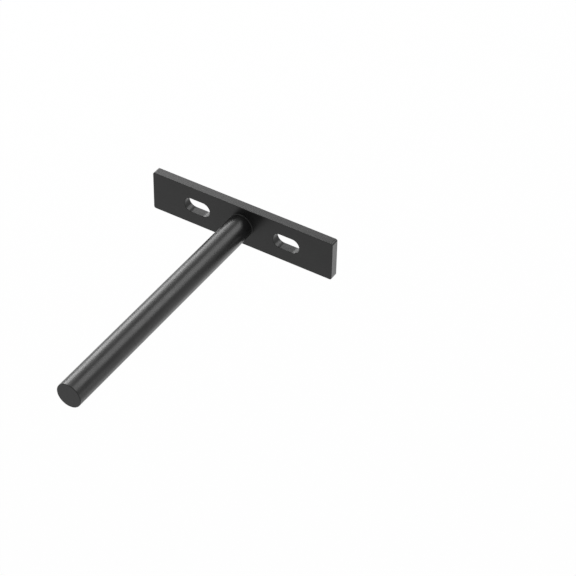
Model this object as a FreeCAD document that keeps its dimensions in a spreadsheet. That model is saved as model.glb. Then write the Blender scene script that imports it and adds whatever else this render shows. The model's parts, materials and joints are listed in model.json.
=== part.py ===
import FreeCAD, Part
import math
import os

import Sketcher
from FreeCAD import Vector

# Floating shelf bracket: a flat steel bar that is screwed to a wall through two level slots, and a solid
# round rod that stands out square from its middle and carries a shelf. The rod's shoulder sits on the bar's
# front face. A thinner spigot behind the shoulder goes through the bar and is welded there from behind.
#
# Frame, in millimetres: the origin is the middle of the bar's wall face, on the rod's axis. +X runs along
# the bar, the rod points along -Y, away from the wall, and +Z is up.

SIZES = [
    ("plate_length", 94.8, "flat bar, end to end along the wall"),
    ("plate_height", 20.5, "flat bar, bottom edge to top edge"),
    ("plate_thickness", 4.5, "flat bar, wall face to front face"),
    ("plate_corner_radius", 1.0, "outline corners, seen from the front"),
    ("plate_edge_round", 0.3, "eased edges round both faces of the bar"),
    ("slot_spacing", 47.2, "middle of one screw slot to middle of the other"),
    ("slot_width", 7.6, "screw slot, bottom to top"),
    ("slot_travel", 6.2, "screw slot, between the centres of its two round ends"),
    ("slot_edge_round", 0.2, "eased edges of the screw slots on both faces"),
    ("rod_diameter", 12.0, "round bar"),
    ("rod_projection", 130.0, "rod, from the bar's front face to its tip"),
    ("rod_tip_round", 0.3, "eased edge of the rod's tip"),
    ("shoulder_width", 1.5, "step from the rod's side in to the side of its spigot"),
    ("spigot_clearance", 0.05, "gap all round the spigot in its bore"),
    ("weld_depth", 1.3, "weld bead, from its lips down to its root between the spigot and the bore"),
    ("weld_crown", 0.3, "weld bead, from its lips up to the top of its rounded face"),
    ("weld_relief", 0.2, "how far the top of the bead stays below the wall face, so the bar lies flat"),
]


def make_sizes(doc):
    """Fill the sheet with the driving sizes: what each one is, and its value under its own name."""
    sheet = doc.addObject("Spreadsheet::Sheet", "Sizes")
    for row, (name, value, meaning) in enumerate(SIZES, start=1):
        sheet.set(f"A{row}", meaning)
        sheet.set(f"B{row}", str(value))
        sheet.setAlias(f"B{row}", name)
    doc.recompute()
    return sheet


def new_body(doc, label):
    """Start one piece of the bracket, named as its file will be."""
    body = doc.addObject("PartDesign::Body", label)
    body.Label = label
    body.Placement = FreeCAD.Placement()
    return body


def new_sketch(body, name, plane_role):
    """Start a sketch on one of the body's own origin planes."""
    sketch = body.newObject("Sketcher::SketchObject", name)
    plane = next(item for item in body.Origin.OriginFeatures if item.Role == plane_role)
    sketch.AttachmentSupport = (plane, "")
    sketch.MapMode = "FlatFace"
    return sketch


def dimension(sketch, name, formula, *constraint):
    """Add a named dimension to the sketch and tie it to a formula of the sheet's sizes."""
    index = sketch.addConstraint(Sketcher.Constraint(*constraint))
    sketch.renameConstraint(index, name)
    sketch.setExpression(f"Constraints.{name}", formula)


def line(sketch, start, end):
    """Add a straight line and give its number in the sketch."""
    return sketch.addGeometry(Part.LineSegment(Vector(*start, 0), Vector(*end, 0)))


def arc(sketch, centre, radius, from_degrees, to_degrees):
    """Add an anticlockwise arc and give its number in the sketch."""
    circle = Part.Circle(Vector(*centre, 0), Vector(0, 0, 1), radius)
    turn = (math.radians(from_degrees), math.radians(to_degrees))
    return sketch.addGeometry(Part.ArcOfCircle(circle, *turn))


# The ends of a line or an arc, the middle of an arc, and a sketch's origin and axes, as a constraint
# names them.
START, END, CENTRE = range(1, 4)
UPRIGHT_AXIS, LEVEL_AXIS = range(-2, 0)
ORIGIN = (LEVEL_AXIS, START)

# How far the weld's lips, and the spigot's end between them, lie below the wall face.
LIP_DEPTH = "(Sizes.weld_relief + Sizes.weld_crown)"

# The radius of the rod behind its shoulder.
SPIGOT_RADIUS = "(Sizes.rod_diameter / 2 - Sizes.shoulder_width)"


def join(sketch, first, first_end, second, second_end, kind="Coincident"):
    """Make the end of one line or arc meet the end of another, smoothly if kind is Tangent."""
    sketch.addConstraint(Sketcher.Constraint(kind, first, first_end, second, second_end))


def edge_names(shape, wanted):
    """List the names of the edges for which wanted(edge) holds."""
    return [f"Edge{number}" for number, edge in enumerate(shape.Edges, start=1) if wanted(edge)]


def lies_in_a_face(edge, thickness):
    """Tell whether the edge lies wholly in the wall face or in the front face of the bar."""
    tolerance = 1e-4
    box = edge.BoundBox
    is_level = box.YLength < tolerance
    return is_level and min(abs(box.YMin), abs(box.YMin + thickness)) < tolerance


def round_edges(doc, body, name, base, wanted, radius_formula):
    """Round the edges of the base feature for which wanted(edge) holds."""
    doc.recompute()
    fillet = body.newObject("PartDesign::Fillet", name)
    fillet.Base = (base, edge_names(base.Shape, wanted))
    fillet.setExpression("Radius", radius_formula)
    body.Tip = fillet
    return fillet


def revolve(body, name, sketch):
    """Turn the profile a full turn about the rod's axis, which is the sketch's upright axis."""
    turned = body.newObject("PartDesign::Revolution", name)
    turned.Profile = sketch
    turned.ReferenceAxis = (sketch, ["V_Axis"])
    turned.Angle = 360
    return body


def sketch_plate_outline(body, sheet):
    """Draw the bar's outline as seen from the front: a rectangle with round corners about the rod's axis."""
    sketch = new_sketch(body, "PlateOutline", "XZ_Plane")
    radius = sheet.plate_corner_radius
    far = sheet.plate_length / 2
    high = sheet.plate_height / 2
    near = far - radius
    low = high - radius

    bottom = line(sketch, (-near, -high), (near, -high))
    right = line(sketch, (far, -low), (far, low))
    top = line(sketch, (near, high), (-near, high))
    left = line(sketch, (-far, low), (-far, -low))
    bottom_right = arc(sketch, (near, -low), radius, -90, 0)
    top_right = arc(sketch, (near, low), radius, 0, 90)
    top_left = arc(sketch, (-near, low), radius, 90, 180)
    bottom_left = arc(sketch, (-near, -low), radius, 180, 270)

    outline = [bottom, bottom_right, right, top_right, top, top_left, left, bottom_left]
    for first, second in zip(outline, outline[1:] + outline[:1]):
        join(sketch, first, END, second, START, "Tangent")
    for level in (bottom, top):
        sketch.addConstraint(Sketcher.Constraint("Horizontal", level))
    for upright in (right, left):
        sketch.addConstraint(Sketcher.Constraint("Vertical", upright))
    for corner in (top_right, top_left, bottom_left):
        sketch.addConstraint(Sketcher.Constraint("Equal", bottom_right, corner))
    middle = (bottom_left, CENTRE, top_right, CENTRE, *ORIGIN)
    sketch.addConstraint(Sketcher.Constraint("Symmetric", *middle))

    dimension(sketch, "length", "Sizes.plate_length", "DistanceX", left, START, right, START, 2 * far)
    dimension(sketch, "height", "Sizes.plate_height", "DistanceY", bottom, START, top, START, 2 * high)
    dimension(sketch, "corner", "Sizes.plate_corner_radius", "Radius", bottom_right, radius)
    return sketch


def sketch_slot(body, sheet):
    """Draw the right-hand screw slot: two level sides and two round ends."""
    sketch = new_sketch(body, "SlotOutline", "XZ_Plane")
    radius = sheet.slot_width / 2
    inner = (sheet.slot_spacing - sheet.slot_travel) / 2
    outer = (sheet.slot_spacing + sheet.slot_travel) / 2

    bottom = line(sketch, (inner, -radius), (outer, -radius))
    outer_end = arc(sketch, (outer, 0), radius, -90, 90)
    top = line(sketch, (outer, radius), (inner, radius))
    inner_end = arc(sketch, (inner, 0), radius, 90, 270)

    outline = [bottom, outer_end, top, inner_end]
    for first, second in zip(outline, outline[1:] + outline[:1]):
        join(sketch, first, END, second, START, "Tangent")
    sketch.addConstraint(Sketcher.Constraint("Horizontal", bottom))
    sketch.addConstraint(Sketcher.Constraint("Equal", outer_end, inner_end))
    sketch.addConstraint(Sketcher.Constraint("PointOnObject", inner_end, CENTRE, LEVEL_AXIS))

    inner_formula = "(Sizes.slot_spacing - Sizes.slot_travel) / 2"
    ends = (inner_end, CENTRE, outer_end, CENTRE)
    dimension(sketch, "end_radius", "Sizes.slot_width / 2", "Radius", inner_end, radius)
    dimension(sketch, "travel", "Sizes.slot_travel", "DistanceX", *ends, sheet.slot_travel)
    dimension(sketch, "place", inner_formula, "DistanceX", *ORIGIN, inner_end, CENTRE, inner)
    return sketch


def sketch_bore(body, sheet):
    """Draw the circle of the spigot's bore."""
    sketch = new_sketch(body, "BoreOutline", "XZ_Plane")
    radius = sheet.rod_diameter / 2 - sheet.shoulder_width + sheet.spigot_clearance
    circle = sketch.addGeometry(Part.Circle(Vector(0, 0, 0), Vector(0, 0, 1), radius))
    join(sketch, circle, CENTRE, *ORIGIN)
    formula = f"{SPIGOT_RADIUS} + Sizes.spigot_clearance"
    dimension(sketch, "bore_radius", formula, "Radius", circle, radius)
    return sketch


def make_wall_plate(doc, sheet):
    """Make the bar: sawn flat bar, eased all round, bored for the spigot and slotted for the screws."""
    body = new_body(doc, "wall_plate")

    bar = body.newObject("PartDesign::Pad", "FlatBar")
    bar.Profile = sketch_plate_outline(body, sheet)
    bar.setExpression("Length", "Sizes.plate_thickness")

    def on_outline(edge):
        return lies_in_a_face(edge, sheet.plate_thickness)

    round_edges(doc, body, "EasedOutline", bar, on_outline, "Sizes.plate_edge_round")

    bore_sketch = sketch_bore(body, sheet)
    doc.recompute()
    bore = body.newObject("PartDesign::Hole", "SpigotBore")
    bore.Profile = bore_sketch
    bore.DepthType = "ThroughAll"
    bore.HoleCutType = "Countersink"
    bore.HoleCutCountersinkAngle = 90
    bore.Reversed = True
    bore_radius = f"({SPIGOT_RADIUS} + Sizes.spigot_clearance)"
    bore.setExpression("Diameter", f"2 * {bore_radius}")
    bore.setExpression("HoleCutDiameter", f"2 * ({bore_radius} + {LIP_DEPTH} + Sizes.weld_depth)")

    slot = body.newObject("PartDesign::Pocket", "ScrewSlot")
    slot.Profile = sketch_slot(body, sheet)
    slot.Type = "ThroughAll"
    slot.Reversed = True

    slots = body.newObject("PartDesign::Mirrored", "ScrewSlots")
    slots.Originals = [slot]
    slots.MirrorPlane = (slot.Profile[0], ["V_Axis"])
    body.Tip = slots

    slot_reach = (sheet.slot_travel + sheet.slot_width) / 2

    def on_slot(edge):
        middle = abs(edge.BoundBox.Center.x)
        beside = abs(middle - sheet.slot_spacing / 2) < slot_reach
        low_enough = abs(edge.BoundBox.Center.z) <= sheet.slot_width / 2
        return lies_in_a_face(edge, sheet.plate_thickness) and beside and low_enough

    round_edges(doc, body, "EasedSlots", slots, on_slot, "Sizes.slot_edge_round")
    return body


def make_support_rod(doc, sheet):
    """Turn the rod about its axis: a bevelled spigot, a shoulder, a straight side and an eased tip."""
    body = new_body(doc, "support_rod")
    sketch = new_sketch(body, "RodProfile", "XY_Plane")
    radius = sheet.rod_diameter / 2
    step = sheet.shoulder_width
    spigot_radius = radius - step
    bevel = sheet.weld_depth
    lips = -(sheet.weld_relief + sheet.weld_crown)
    seat = -sheet.plate_thickness
    front = seat - sheet.rod_projection
    tip_round = sheet.rod_tip_round

    spigot_end = line(sketch, (0, lips), (spigot_radius - bevel, lips))
    slope = line(sketch, (spigot_radius - bevel, lips), (spigot_radius, lips - bevel))
    spigot = line(sketch, (spigot_radius, lips - bevel), (spigot_radius, seat))
    shoulder = line(sketch, (spigot_radius, seat), (radius, seat))
    side = line(sketch, (radius, seat), (radius, front + tip_round))
    corner = arc(sketch, (radius - tip_round, front + tip_round), tip_round, -90, 0)
    tip = line(sketch, (radius - tip_round, front), (0, front))
    axis = line(sketch, (0, front), (0, lips))

    straight = [axis, spigot_end, slope, spigot, shoulder, side]
    for first, second in zip(straight, straight[1:]):
        join(sketch, first, END, second, START)
    join(sketch, side, END, corner, END, "Tangent")
    join(sketch, corner, START, tip, START, "Tangent")
    join(sketch, tip, END, axis, START)
    for level in (spigot_end, shoulder, tip):
        sketch.addConstraint(Sketcher.Constraint("Horizontal", level))
    for upright in (spigot, side):
        sketch.addConstraint(Sketcher.Constraint("Vertical", upright))
    for axis_end in (START, END):
        sketch.addConstraint(Sketcher.Constraint("PointOnObject", axis, axis_end, UPRIGHT_AXIS))

    front_formula = "Sizes.plate_thickness + Sizes.rod_projection"
    across = (shoulder, START, shoulder, END)
    dimension(sketch, "radius", "Sizes.rod_diameter / 2", "DistanceX", *ORIGIN, side, START, radius)
    dimension(sketch, "step", "Sizes.shoulder_width", "DistanceX", *across, step)
    dimension(sketch, "seat", "Sizes.plate_thickness", "DistanceY", side, START, *ORIGIN, -seat)
    dimension(sketch, "set_back", LIP_DEPTH, "DistanceY", axis, END, *ORIGIN, -lips)
    dimension(sketch, "bevel_in", "Sizes.weld_depth", "DistanceX", slope, START, slope, END, bevel)
    dimension(sketch, "bevel_deep", "Sizes.weld_depth", "DistanceY", slope, END, slope, START, bevel)
    dimension(sketch, "tip_round", "Sizes.rod_tip_round", "Radius", corner, tip_round)
    dimension(sketch, "front", front_formula, "DistanceY", axis, START, *ORIGIN, -front)
    return revolve(body, "TurnedRod", sketch)


def make_rear_weld(doc, sheet):
    """Turn the weld about the rod's axis: it fills the groove between the two bevels and has a round face."""
    body = new_body(doc, "rear_weld")
    sketch = new_sketch(body, "WeldProfile", "XY_Plane")
    spigot_radius = sheet.rod_diameter / 2 - sheet.shoulder_width
    gap = sheet.spigot_clearance
    bore_radius = spigot_radius + gap
    depth = sheet.weld_depth
    lips = -(sheet.weld_relief + sheet.weld_crown)
    inner_lip = spigot_radius - depth
    outer_lip = bore_radius + depth
    half_width = (outer_lip - inner_lip) / 2
    face_radius = (half_width**2 + sheet.weld_crown**2) / (2 * sheet.weld_crown)
    face_centre = (inner_lip + half_width, lips + sheet.weld_crown - face_radius)
    half_turn = math.degrees(math.asin(half_width / face_radius))

    on_spigot = line(sketch, (inner_lip, lips), (spigot_radius, lips - depth))
    root = line(sketch, (spigot_radius, lips - depth), (bore_radius, lips - depth))
    on_bore = line(sketch, (bore_radius, lips - depth), (outer_lip, lips))
    face = arc(sketch, face_centre, face_radius, 90 - half_turn, 90 + half_turn)

    join(sketch, on_spigot, END, root, START)
    join(sketch, root, END, on_bore, START)
    join(sketch, on_bore, END, face, START)
    join(sketch, face, END, on_spigot, START)
    sketch.addConstraint(Sketcher.Constraint("Horizontal", root))
    sketch.addConstraint(Sketcher.Constraint("Horizontal", on_spigot, START, on_bore, END))

    half_width_formula = "(Sizes.weld_depth + Sizes.spigot_clearance / 2)"
    inner_formula = f"{SPIGOT_RADIUS} - Sizes.weld_depth"
    face_formula = f"({half_width_formula} ^ 2 + Sizes.weld_crown ^ 2) / (2 * Sizes.weld_crown)"
    spigot_side = (on_spigot, START, on_spigot, END)
    spigot_side_up = (on_spigot, END, on_spigot, START)
    bore_side = (on_bore, START, on_bore, END)
    dimension(sketch, "inner_lip", inner_formula, "DistanceX", *ORIGIN, on_spigot, START, inner_lip)
    dimension(sketch, "lips", LIP_DEPTH, "DistanceY", on_spigot, START, *ORIGIN, -lips)
    dimension(sketch, "spigot_side", "Sizes.weld_depth", "DistanceX", *spigot_side, depth)
    dimension(sketch, "depth", "Sizes.weld_depth", "DistanceY", *spigot_side_up, depth)
    dimension(sketch, "root_gap", "Sizes.spigot_clearance", "DistanceX", root, START, root, END, gap)
    dimension(sketch, "bore_side", "Sizes.weld_depth", "DistanceX", *bore_side, depth)
    dimension(sketch, "face", face_formula, "Radius", face, face_radius)
    return revolve(body, "WeldRing", sketch)


def check(doc, bodies):
    """Stop if any feature failed, or if any piece isn't one sound solid."""
    failed = [item.Name for item in doc.Objects if {"Invalid", "Error"} & set(item.State)]
    if failed:
        raise RuntimeError(f"these features failed: {failed}")
    for body in bodies:
        if body.Shape.isNull() or not body.Shape.isValid() or len(body.Shape.Solids) != 1:
            raise RuntimeError(f"{body.Label} is not one sound solid")


def main():
    """Build the three pieces, check them and write each one to its own file."""
    doc = FreeCAD.newDocument("floating_shelf_bracket")
    sheet = make_sizes(doc)
    makers = (make_wall_plate, make_support_rod, make_rear_weld)
    bodies = [make(doc, sheet) for make in makers]
    doc.recompute()
    check(doc, bodies)
    os.makedirs("parts", exist_ok=True)
    for body in bodies:
        body.Shape.exportStep(os.path.join("parts", f"{body.Label}.step"))
        print(f"{body.Label}: {body.Shape.Volume:.1f} cubic mm")


main()
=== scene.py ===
"""Finish, weld bead, studio and camera of a floating shelf bracket.

The bracket is a flat steel bar with two level screw slots and a solid round rod that stands out square
from its middle. All of it is covered in one satin black powder coat. The sizes here are in metres, in the
bracket's own frame: +X along the bar, -Y along the rod, +Z up, with the wall face at Y = 0.
"""

import enum
import json
import logging
import math
from dataclasses import dataclass, field
from typing import Callable, Iterable

import bmesh
import bpy
from mathutils import Matrix, Vector

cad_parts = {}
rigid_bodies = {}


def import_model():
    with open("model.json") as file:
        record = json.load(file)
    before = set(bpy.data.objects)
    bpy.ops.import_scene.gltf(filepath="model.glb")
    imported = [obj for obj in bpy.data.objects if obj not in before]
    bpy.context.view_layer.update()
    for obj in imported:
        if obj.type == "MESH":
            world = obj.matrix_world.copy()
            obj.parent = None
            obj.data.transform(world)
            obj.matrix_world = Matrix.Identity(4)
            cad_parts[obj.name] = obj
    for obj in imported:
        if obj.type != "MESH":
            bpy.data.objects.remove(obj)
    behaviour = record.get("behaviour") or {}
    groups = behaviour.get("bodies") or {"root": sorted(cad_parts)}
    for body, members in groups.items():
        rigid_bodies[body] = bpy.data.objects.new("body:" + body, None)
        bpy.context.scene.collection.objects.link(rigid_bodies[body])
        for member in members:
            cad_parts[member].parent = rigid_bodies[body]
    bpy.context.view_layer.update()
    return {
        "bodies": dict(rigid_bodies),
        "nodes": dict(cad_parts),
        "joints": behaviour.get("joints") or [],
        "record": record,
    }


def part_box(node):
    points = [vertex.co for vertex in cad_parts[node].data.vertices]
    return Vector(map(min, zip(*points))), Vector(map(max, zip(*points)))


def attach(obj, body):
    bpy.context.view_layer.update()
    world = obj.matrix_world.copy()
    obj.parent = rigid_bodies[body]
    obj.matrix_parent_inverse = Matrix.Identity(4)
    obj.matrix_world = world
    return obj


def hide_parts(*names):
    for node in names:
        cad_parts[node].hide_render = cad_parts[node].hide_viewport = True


LOG = logging.getLogger("shelf_bracket")
MM = 0.001
BODY = "root"
WHITE = (1.0, 1.0, 1.0, 1.0)
Outline = list[tuple[float, float]]
OutlineAt = Callable[[float], Outline]


class Slot(enum.Enum):
    """The record's material slots."""

    COAT = "black_powder_coat"


class Rays(enum.Enum):
    """The kinds of ray that see the plain white ground, as outputs of the Light Path node."""

    CAMERA = "Is Camera Ray"
    GLOSSY = "Is Glossy Ray"
    TRANSMISSION = "Is Transmission Ray"


@dataclass(frozen=True)
class Ripple:
    """One scale of unevenness in the coat: its width, and how strongly it bumps the surface."""

    width: float
    height: float
    detail: float = 1.0


@dataclass(frozen=True)
class PowderCoat:
    """Satin black powder coat: nearly black, with a soft orange peel and a fine grain."""

    name: str = "satin_black_powder"
    darker: float = 0.009
    lighter: float = 0.014
    roughness_low: float = 0.30
    roughness_high: float = 0.35
    specular_level: float = 0.30
    cloud_width: float = 9.0 * MM
    cloud_detail: float = 2.0
    noise_low: float = 0.3
    noise_high: float = 0.7
    peel: Ripple = Ripple(width=1.3 * MM, height=0.002 * MM, detail=1.0)
    grain: Ripple = Ripple(width=0.30 * MM, height=0.0006 * MM, detail=2.0)

    def _noise(self, tree: bpy.types.NodeTree, width: float, detail: float) -> bpy.types.Node:
        """Add a noise whose blotches are about one width across.

        Args:
            tree: The node tree that gets the noise.
            width: How wide one blotch is, in metres.
            detail: How many finer layers the noise has.

        Returns:
            The noise node, fed with the piece's own coordinates.
        """
        place = tree.nodes.new("ShaderNodeTexCoord")
        noise = tree.nodes.new("ShaderNodeTexNoise")
        noise.inputs["Scale"].default_value = 1.0 / width
        noise.inputs["Detail"].default_value = detail
        tree.links.new(place.outputs["Object"], noise.inputs["Vector"])
        return noise

    def _spread(
        self, tree: bpy.types.NodeTree, noise: bpy.types.Node, low: float, high: float
    ) -> bpy.types.Node:
        """Spread a noise evenly between two values.

        Args:
            tree: The node tree that gets the node.
            noise: The noise to spread.
            low: The value where the noise is low.
            high: The value where the noise is high.

        Returns:
            The Map Range node whose result lies between the two values.
        """
        spread = tree.nodes.new("ShaderNodeMapRange")
        spread.inputs["From Min"].default_value = self.noise_low
        spread.inputs["From Max"].default_value = self.noise_high
        spread.inputs["To Min"].default_value = low
        spread.inputs["To Max"].default_value = high
        tree.links.new(noise.outputs["Fac"], spread.inputs["Value"])
        return spread

    def _bump(
        self, tree: bpy.types.NodeTree, ripple: Ripple, below: bpy.types.Node | None
    ) -> bpy.types.Node:
        """Add one scale of unevenness on top of another.

        Args:
            tree: The node tree that gets the bump.
            ripple: The width and height of the unevenness.
            below: The coarser bump that this one lies on, if there is one.

        Returns:
            The Bump node.
        """
        noise = self._noise(tree, ripple.width, ripple.detail)
        bump = tree.nodes.new("ShaderNodeBump")
        bump.inputs["Strength"].default_value = 1.0
        bump.inputs["Distance"].default_value = ripple.height
        tree.links.new(noise.outputs["Fac"], bump.inputs["Height"])
        if below is not None:
            tree.links.new(below.outputs["Normal"], bump.inputs["Normal"])
        return bump

    def material(self) -> bpy.types.Material:
        """Make the coat, or give the one that is made already.

        Returns:
            The coat's material.
        """
        known = bpy.data.materials.get(self.name)
        if known is not None:
            return known
        coat = bpy.data.materials.new(self.name)
        coat.use_nodes = True
        tree = coat.node_tree
        shader = tree.nodes["Principled BSDF"]
        shader.inputs["Metallic"].default_value = 0.0
        shader.inputs["Specular IOR Level"].default_value = self.specular_level

        cloud = self._noise(tree, self.cloud_width, self.cloud_detail)
        shade = self._spread(tree, cloud, self.darker, self.lighter)
        tree.links.new(shade.outputs["Result"], shader.inputs["Base Color"])
        sheen = self._spread(tree, cloud, self.roughness_low, self.roughness_high)
        tree.links.new(sheen.outputs["Result"], shader.inputs["Roughness"])

        peel = self._bump(tree, self.peel, None)
        grain = self._bump(tree, self.grain, peel)
        tree.links.new(grain.outputs["Normal"], shader.inputs["Normal"])
        return coat

    def dress(self, piece: bpy.types.Object) -> None:
        """Put the coat on a piece, in place of any material that it has."""
        piece.data.materials.clear()
        piece.data.materials.append(self.material())


@dataclass
class Frame:
    """The bracket's solids, as they were packed."""

    nodes: dict[str, bpy.types.Object]

    def dress(self, node: str, coat: PowderCoat) -> None:
        """Coat a solid that keeps its own shape.

        Args:
            node: The solid's name.
            coat: The coat that it gets.
        """
        coat.dress(self.nodes[node])
        LOG.info("dressed %s in %s", node, coat.name)


def ring_mesh(name: str, outline_at: OutlineAt, steps: int) -> bpy.types.Object:
    """Turn an outline about the rod's axis, with the outline free to change on the way round.

    Args:
        name: The new piece's name.
        outline_at: Gives the closed outline at an angle, as (radius, y) pairs.
        steps: How many times the outline is set round the axis.

    Returns:
        The new piece, a closed ring.
    """
    grid = bmesh.new()
    rows: list[list[bmesh.types.BMVert]] = []
    for step in range(steps):
        turn = 2.0 * math.pi * step / steps
        row = [
            grid.verts.new((radius * math.cos(turn), y, radius * math.sin(turn)))
            for radius, y in outline_at(turn)
        ]
        rows.append(row)
    for row, following in zip(rows, rows[1:] + rows[:1]):
        for index in range(len(row)):
            after = (index + 1) % len(row)
            grid.faces.new((row[index], row[after], following[after], following[index]))
    bmesh.ops.recalc_face_normals(grid, faces=grid.faces)
    mesh = bpy.data.meshes.new(name)
    grid.to_mesh(mesh)
    grid.free()
    mesh.shade_smooth()
    piece = bpy.data.objects.new(name, mesh)
    bpy.context.scene.collection.objects.link(piece)
    return piece


@dataclass
class WallPlate:
    """The flat bar that is screwed to the wall through its two slots."""

    node: str = "wall_plate"

    def build(self, frame: Frame, coat: PowderCoat) -> None:
        """Coat the bar."""
        frame.dress(self.node, coat)


@dataclass
class SupportRod:
    """The round rod that a shelf slides over, and the coat that has run into the corner at its root."""

    node: str = "support_rod"
    corner_name: str = "coat_in_rod_corner"
    corner_radius: float = 0.20 * MM
    corner_arc_steps: int = 6
    corner_turn_steps: int = 144
    bury: float = 0.05 * MM

    def corner(self, rod_radius: float, plate_front: float) -> bpy.types.Object:
        """Build the hollow ring of coat in the corner between the rod and the bar.

        Args:
            rod_radius: The rod's radius.
            plate_front: The Y of the bar's front face, which the rod's shoulder sits on.

        Returns:
            The ring, whose back lies just inside the steel.
        """
        centre_radius = rod_radius + self.corner_radius
        centre_y = plate_front - self.corner_radius

        def outline(turn: float) -> Outline:
            """Give the ring's outline, the same all the way round.

            Args:
                turn: The angle round the rod's axis.

            Returns:
                The closed outline, as (radius, y) pairs.
            """
            points = [(rod_radius - self.bury, plate_front + self.bury)]
            points.append((centre_radius, plate_front + self.bury))
            for step in range(self.corner_arc_steps + 1):
                angle = 0.5 * math.pi * (1.0 + step / self.corner_arc_steps)
                points.append((
                    centre_radius + self.corner_radius * math.cos(angle),
                    centre_y + self.corner_radius * math.sin(angle),
                ))
            points.append((rod_radius - self.bury, centre_y))
            return points

        return ring_mesh(self.corner_name, outline, self.corner_turn_steps)

    def build(self, frame: Frame, coat: PowderCoat, plate_front: float) -> None:
        """Coat the rod and fill its corner.

        Args:
            frame: The bracket's solids.
            coat: The coat that the rod and its corner get.
            plate_front: The Y of the bar's front face.
        """
        frame.dress(self.node, coat)
        low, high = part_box(self.node)
        rod_radius = 0.5 * (high[0] - low[0])
        corner = self.corner(rod_radius, plate_front)
        coat.dress(corner)
        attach(corner, BODY)
        LOG.info("built %s, %.1f mm across its hollow", corner.name, self.corner_radius / MM)


@dataclass
class RearWeld:
    """The weld bead behind the rod, laid down in one run of overlapping ripples."""

    node: str = "rear_weld"
    name: str = "rippled_weld_bead"
    root_width: float = 0.05 * MM
    crown: float = 0.3 * MM
    ripples: int = 26
    ripple_depth: float = 0.09 * MM
    ripple_lag: float = 0.55
    face_steps: int = 10
    turn_steps: int = 312

    def outline(self, turn: float, inner: float, outer: float, top: float, bottom: float) -> Outline:
        """Give the bead's outline at an angle round the rod.

        Args:
            turn: The angle round the rod's axis.
            inner: The radius of the bead's inner lip.
            outer: The radius of the bead's outer lip.
            top: The Y of the highest point of the bead's face.
            bottom: The Y of the bead's root.

        Returns:
            The closed outline, as (radius, y) pairs.
        """
        middle = 0.5 * (inner + outer)
        half = 0.5 * (outer - inner)
        lips = top - self.crown
        points = [
            (middle + 0.5 * self.root_width, bottom),
            (outer, lips),
        ]
        for step in range(1, self.face_steps):
            across = 1.0 - 2.0 * step / self.face_steps
            lag = self.ripple_lag * (1.0 - across * across)
            phase = (turn * self.ripples / (2.0 * math.pi) + lag) % 1.0
            dip = self.ripple_depth * phase * (1.0 - across**4)
            height = self.crown * (1.0 - across * across)
            points.append((middle + half * across, lips + max(height - dip, 0.0)))
        points.append((inner, lips))
        points.append((middle - 0.5 * self.root_width, bottom))
        return points

    def build(self, coat: PowderCoat) -> None:
        """Lay the bead in the groove that the plain solid fills, and coat it.

        Args:
            coat: The coat that the bead gets.
        """
        low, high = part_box(self.node)
        outer = 0.5 * (high[0] - low[0])
        bottom, top = low[1], high[1]
        depth = top - self.crown - bottom
        inner = outer - 2.0 * depth - self.root_width
        bead = ring_mesh(
            self.name,
            lambda turn: self.outline(turn, inner, outer, top, bottom),
            self.turn_steps,
        )
        coat.dress(bead)
        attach(bead, BODY)
        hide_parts(self.node)
        LOG.info("built %s with %d ripples in place of %s", bead.name, self.ripples, self.node)


@dataclass(frozen=True)
class Softbox:
    """An oval soft lamp, placed by its direction from the bracket, and sized across and along the rod.

    A lamp with a brightness of 1 would look white.
    """

    name: str
    towards: tuple[float, float, float]
    across: float
    along: float
    brightness: float
    away: float = 3.0

    def place(self, target: Vector) -> None:
        """Hang the lamp so that it faces the bracket.

        Args:
            target: The point that the lamp faces.
        """
        light = bpy.data.lights.new(self.name, "AREA")
        light.shape = "ELLIPSE"
        light.size = self.across
        light.size_y = self.along
        area = 0.25 * math.pi * self.across * self.along
        light.energy = self.brightness * math.pi * area
        lamp = bpy.data.objects.new(self.name, light)
        back = Vector(self.towards).normalized()
        square_to_rod = Vector((0.0, 1.0, 0.0)).cross(back).normalized()
        turn = Matrix((square_to_rod, back.cross(square_to_rod), back)).transposed()
        lamp.matrix_world = Matrix.Translation(target + back * self.away) @ turn.to_4x4()
        lamp.visible_camera = False
        bpy.context.scene.collection.objects.link(lamp)
        LOG.info("hung %s", self.name)


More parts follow.
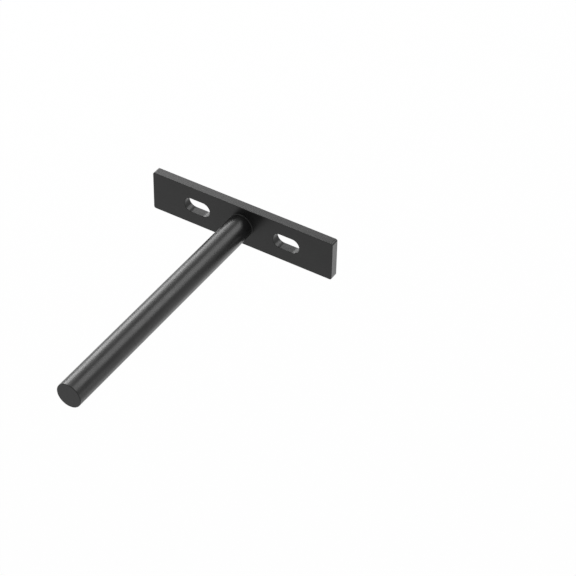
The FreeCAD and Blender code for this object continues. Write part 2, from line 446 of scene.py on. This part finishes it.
@dataclass
class Studio:
    """A plain white ground under plain soft lamps."""

    floor_height: float = -0.6
    floor_half_width: float = 30.0
    floor_paint: float = 0.85
    ground_white: float = 1.0
    own_light: float = 0.95
    room_light: float = 0.3
    target: Vector = field(default_factory=lambda: Vector((0.0, -50.0 * MM, 0.0)))
    lamps: tuple[Softbox, ...] = (
        Softbox("left_strip", (-0.735, 0.545, 0.402), across=1.70, along=0.84, brightness=10.2),
        Softbox("rear_panel", (0.350, 0.610, 0.711), across=2.10, along=0.84, brightness=6.5),
        Softbox("back_fill", (-0.480, 0.710, 0.515), across=0.84, along=0.74, brightness=4.3),
        Softbox("overhead_strip", (-0.386, 0.080, 0.919), across=0.74, along=2.60, brightness=6.1),
        Softbox("right_panel", (0.920, 0.300, -0.110), across=0.60, along=0.60, brightness=4.9, away=1.8),
        Softbox("low_card", (0.386, 0.648, -0.656), across=0.36, along=0.36, brightness=0.8, away=0.7),
    )

    def _seen_directly(self, tree: bpy.types.NodeTree) -> bpy.types.NodeSocket:
        """Tell the rays that see the white ground from those that only light the bracket.

        Args:
            tree: The node tree that gets the nodes.

        Returns:
            A socket that is 1 for camera, glossy and transmission rays, and 0 for the rest.
        """
        path = tree.nodes.new("ShaderNodeLightPath")
        total: bpy.types.NodeSocket | None = None
        for kind in Rays:
            if total is None:
                total = path.outputs[kind.value]
                continue
            add = tree.nodes.new("ShaderNodeMath")
            add.operation = "MAXIMUM"
            tree.links.new(total, add.inputs[0])
            tree.links.new(path.outputs[kind.value], add.inputs[1])
            total = add.outputs[0]
        return total

    def _world(self) -> None:
        """Make the room round the bracket: white to look at, dim as a light."""
        world = bpy.data.worlds.new("studio_room")
        world.use_nodes = True
        world.cycles.sampling_method = "NONE"
        tree = world.node_tree
        ground = tree.nodes["Background"]
        ground.inputs["Color"].default_value = WHITE
        strength = tree.nodes.new("ShaderNodeMapRange")
        strength.inputs["To Min"].default_value = self.room_light
        strength.inputs["To Max"].default_value = 1.0
        tree.links.new(self._seen_directly(tree), strength.inputs["Value"])
        tree.links.new(strength.outputs["Result"], ground.inputs["Strength"])
        bpy.context.scene.world = world

    def _floor_paint(self) -> bpy.types.Material:
        """Make the floor's white: mostly its own light where it is looked at, plain paint elsewhere.

        Returns:
            The floor's material.
        """
        paint = bpy.data.materials.new("white_floor")
        paint.use_nodes = True
        paint.cycles.emission_sampling = "NONE"
        tree = paint.node_tree
        tree.nodes.remove(tree.nodes["Principled BSDF"])
        output = tree.nodes["Material Output"]
        matt = tree.nodes.new("ShaderNodeBsdfDiffuse")
        matt.inputs["Color"].default_value = (self.floor_paint,) * 3 + (1.0,)
        glow = tree.nodes.new("ShaderNodeEmission")
        glow.inputs["Color"].default_value = WHITE
        glow.inputs["Strength"].default_value = self.ground_white
        share = tree.nodes.new("ShaderNodeMath")
        share.operation = "MULTIPLY"
        share.inputs[1].default_value = self.own_light
        tree.links.new(self._seen_directly(tree), share.inputs[0])
        mix = tree.nodes.new("ShaderNodeMixShader")
        tree.links.new(share.outputs[0], mix.inputs["Fac"])
        tree.links.new(matt.outputs["BSDF"], mix.inputs[1])
        tree.links.new(glow.outputs["Emission"], mix.inputs[2])
        tree.links.new(mix.outputs["Shader"], output.inputs["Surface"])
        return paint

    def _floor(self) -> None:
        """Lay the floor well below the bracket, which hangs on a wall in use."""
        half = self.floor_half_width
        corners = [(-half, -half), (half, -half), (half, half), (-half, half)]
        mesh = bpy.data.meshes.new("floor")
        mesh.from_pydata([(x, y, self.floor_height) for x, y in corners], [], [(0, 1, 2, 3)])
        mesh.materials.append(self._floor_paint())
        floor = bpy.data.objects.new("floor", mesh)
        bpy.context.scene.collection.objects.link(floor)

    def build(self) -> None:
        """Set up the room, the floor and the lamps."""
        self._world()
        self._floor()
        for lamp in self.lamps:
            lamp.place(self.target)


@dataclass(frozen=True)
class Viewpoint:
    """Where the camera stands: its angles, its distance, and the pixel that the frame's origin falls on."""

    azimuth: float = 30.755
    elevation: float = 41.021
    roll: float = 1.272
    distance: float = 0.91571
    image_width: float = 576.0
    origin_pixel: tuple[float, float] = (246.236, 220.273)
    focal_pixels: float = 2038.1
    sensor_width: float = 36.0
    nearest: float = 0.01
    farthest: float = 200.0

    def _axes(self) -> tuple[Vector, Vector, Vector]:
        """Work out the camera's own axes.

        Returns:
            The directions to its right, up, and back towards the viewer.
        """
        azimuth = math.radians(self.azimuth)
        elevation = math.radians(self.elevation)
        roll = math.radians(self.roll)
        back = Vector((
            math.sin(azimuth) * math.cos(elevation),
            -math.cos(azimuth) * math.cos(elevation),
            math.sin(elevation),
        ))
        level_right = Vector((math.cos(azimuth), math.sin(azimuth), 0.0))
        level_up = back.cross(level_right)
        right = math.cos(roll) * level_right + math.sin(roll) * level_up
        up = math.cos(roll) * level_up - math.sin(roll) * level_right
        return right, up, back

    def place(self) -> None:
        """Stand the camera so that the bracket fills the frame as it does in the photograph."""
        right, up, back = self._axes()
        middle = 0.5 * self.image_width
        aside = (self.origin_pixel[0] - middle) / self.focal_pixels * self.distance
        below = (self.origin_pixel[1] - middle) / self.focal_pixels * self.distance
        stand = back * self.distance - right * aside + up * below
        lens = bpy.data.cameras.new("viewpoint")
        lens.sensor_width = self.sensor_width
        lens.lens = self.focal_pixels / self.image_width * self.sensor_width
        lens.clip_start = self.nearest
        lens.clip_end = self.farthest
        camera = bpy.data.objects.new("viewpoint", lens)
        turn = Matrix((right, up, back)).transposed()
        camera.matrix_world = Matrix.Translation(stand) @ turn.to_4x4()
        bpy.context.scene.collection.objects.link(camera)
        bpy.context.scene.camera = camera
        LOG.info("camera stands %.2f m off", stand.length)


def main() -> None:
    """Load the bracket, dress it, and set up the studio round it."""
    logging.basicConfig(level=logging.INFO, format="%(name)s: %(message)s")
    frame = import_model()
    solids = Frame(nodes=frame["nodes"])
    coat = PowderCoat()

    plate = WallPlate()
    plate.build(solids, coat)
    plate_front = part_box(plate.node)[0][1]
    SupportRod().build(solids, coat, plate_front)
    RearWeld().build(coat)

    Studio().build()
    Viewpoint().place()
    bpy.context.scene.view_settings.view_transform = "Standard"


if __name__ == "__main__":
    main()
